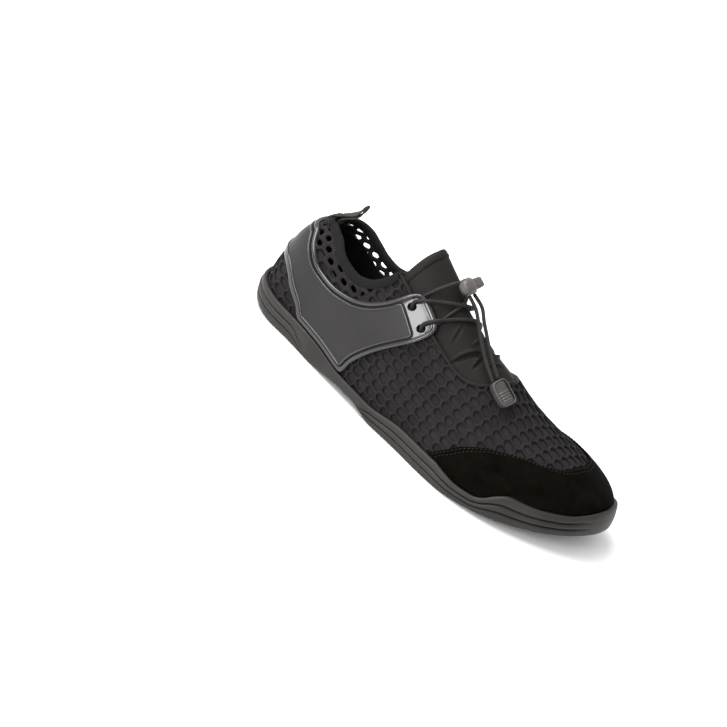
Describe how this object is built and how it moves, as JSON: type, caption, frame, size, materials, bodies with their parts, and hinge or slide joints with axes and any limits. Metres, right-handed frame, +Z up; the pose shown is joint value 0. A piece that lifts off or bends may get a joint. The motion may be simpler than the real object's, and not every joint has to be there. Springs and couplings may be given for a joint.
{
  "type": "water shoe",
  "caption": "Right-foot water shoe: open net upper on a moulded cup sole, with a support cage round the heel, a suede toe cap, a stretch tongue and an elastic lace held by a cord lock.",
  "frame": {"origin": "on the ground, under the middle of the shoe's box", "axes": "+X to the toe, +Y to the inner side of the right foot, +Z up"},
  "size_m": [0.2848, 0.1082, 0.1049],
  "materials": {
    "sole_rubber": "matte",
    "insole_foam": "matte",
    "net_fabric": "matte",
    "stretch_fabric": "matte",
    "cage_plastic": "satin",
    "cap_suede": "matte",
    "loop_webbing": "matte",
    "lace_cord": "matte",
    "lock_plastic": "satin",
    "clip_plastic": "satin"
  },
  "bodies": {
    "root": {"outsole": "sole_rubber", "insole": "insole_foam", "upper": "net_fabric", "tongue": "stretch_fabric", "cage": "cage_plastic", "toe_cap": "cap_suede", "pull_loop": "loop_webbing", "lace": "lace_cord", "lace_tail_outer": "lace_cord", "lace_tail_inner": "lace_cord", "cord_lock": "lock_plastic", "cord_end": "clip_plastic"}
  },
  "joints": []
}
